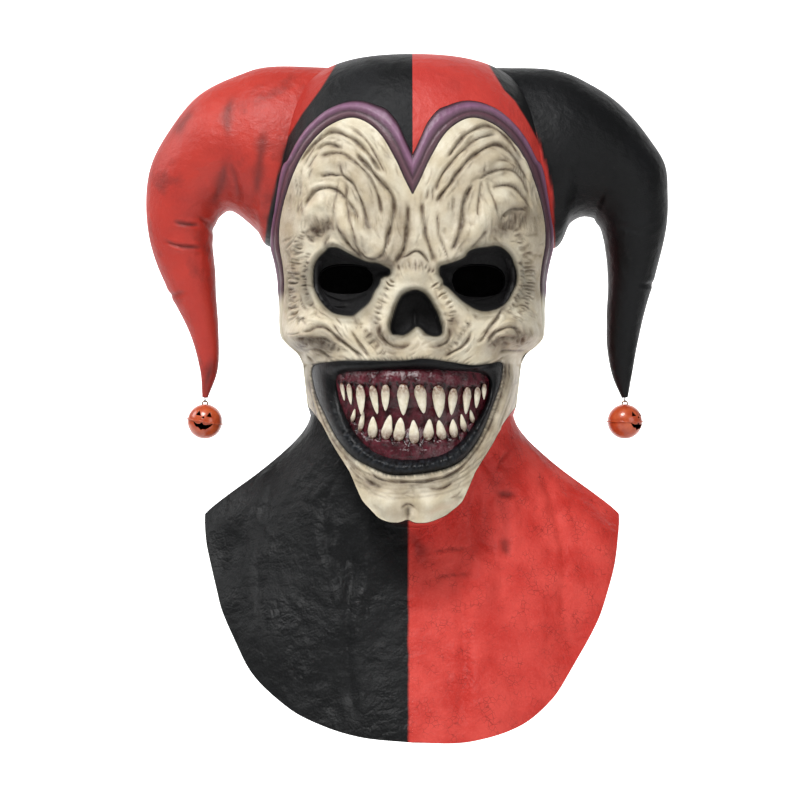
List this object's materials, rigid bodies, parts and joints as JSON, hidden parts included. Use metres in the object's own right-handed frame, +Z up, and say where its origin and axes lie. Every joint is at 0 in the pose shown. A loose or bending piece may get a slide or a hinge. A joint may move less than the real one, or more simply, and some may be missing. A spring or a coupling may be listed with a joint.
{
  "type": "jester mask",
  "caption": "Full-head latex jester mask with a grinning skull face, a horned cap, a flared collar in halves of different colours and a pumpkin bell hanging from each horn.",
  "frame": {"origin": "inside of the crown, where the top of the wearer's head meets the mask", "axes": "+Z up along the worn head, -Y the way the face looks, +X towards the red half of the cap"},
  "size_m": [0.3753, 0.2225, 0.4816],
  "materials": {
    "bone_latex": "matt painted latex with a brown wash",
    "band_latex": "satin purple painted latex",
    "black_latex": "satin black painted latex",
    "red_latex": "satin red painted latex",
    "lip_latex": "satin black painted latex",
    "gum_latex": "gloss varnished latex",
    "tooth_latex": "gloss varnished latex",
    "bell_enamel": "translucent orange enamel on steel",
    "steel": "bright steel wire"
  },
  "bodies": {
    "mask": {"face": "bone_latex", "brow_band": "band_latex", "hood_black": "black_latex", "hood_red": "red_latex", "horn_red": "red_latex", "horn_black": "black_latex", "collar_black": "black_latex", "collar_red": "red_latex", "lips": "lip_latex", "gums": "gum_latex", "tooth_upper_01": "tooth_latex", "tooth_upper_02": "tooth_latex", "tooth_upper_03": "tooth_latex", "tooth_upper_04": "tooth_latex", "tooth_upper_05": "tooth_latex", "tooth_upper_06": "tooth_latex", "tooth_upper_07": "tooth_latex", "tooth_upper_08": "tooth_latex", "tooth_upper_09": "tooth_latex", "tooth_upper_10": "tooth_latex", "tooth_upper_11": "tooth_latex", "tooth_upper_12": "tooth_latex", "tooth_lower_01": "tooth_latex", "tooth_lower_02": "tooth_latex", "tooth_lower_03": "tooth_latex", "tooth_lower_04": "tooth_latex", "tooth_lower_05": "tooth_latex", "tooth_lower_06": "tooth_latex", "tooth_lower_07": "tooth_latex", "tooth_lower_08": "tooth_latex", "tooth_lower_09": "tooth_latex", "tooth_lower_10": "tooth_latex", "tooth_lower_11": "tooth_latex", "screw_eye_red_horn": "steel", "screw_eye_black_horn": "steel"},
    "bell_on_red_horn": {"bell_red_horn": "bell_enamel", "pellet_red_horn": "steel"},
    "bell_on_black_horn": {"bell_black_horn": "bell_enamel", "pellet_black_horn": "steel"}
  },
  "joints": [
    {"name": "swing_on_red_horn", "type": "hinge", "parent": "mask", "child": "bell_on_red_horn", "pos_m": [-0.14899, 0, -0.246], "axis": [0, 1, 0], "range_deg": [-40, 40]},
    {"name": "swing_on_black_horn", "type": "hinge", "parent": "mask", "child": "bell_on_black_horn", "pos_m": [0.15327, 0, -0.246], "axis": [0, 1, 0], "range_deg": [-40, 40]}
  ]
}
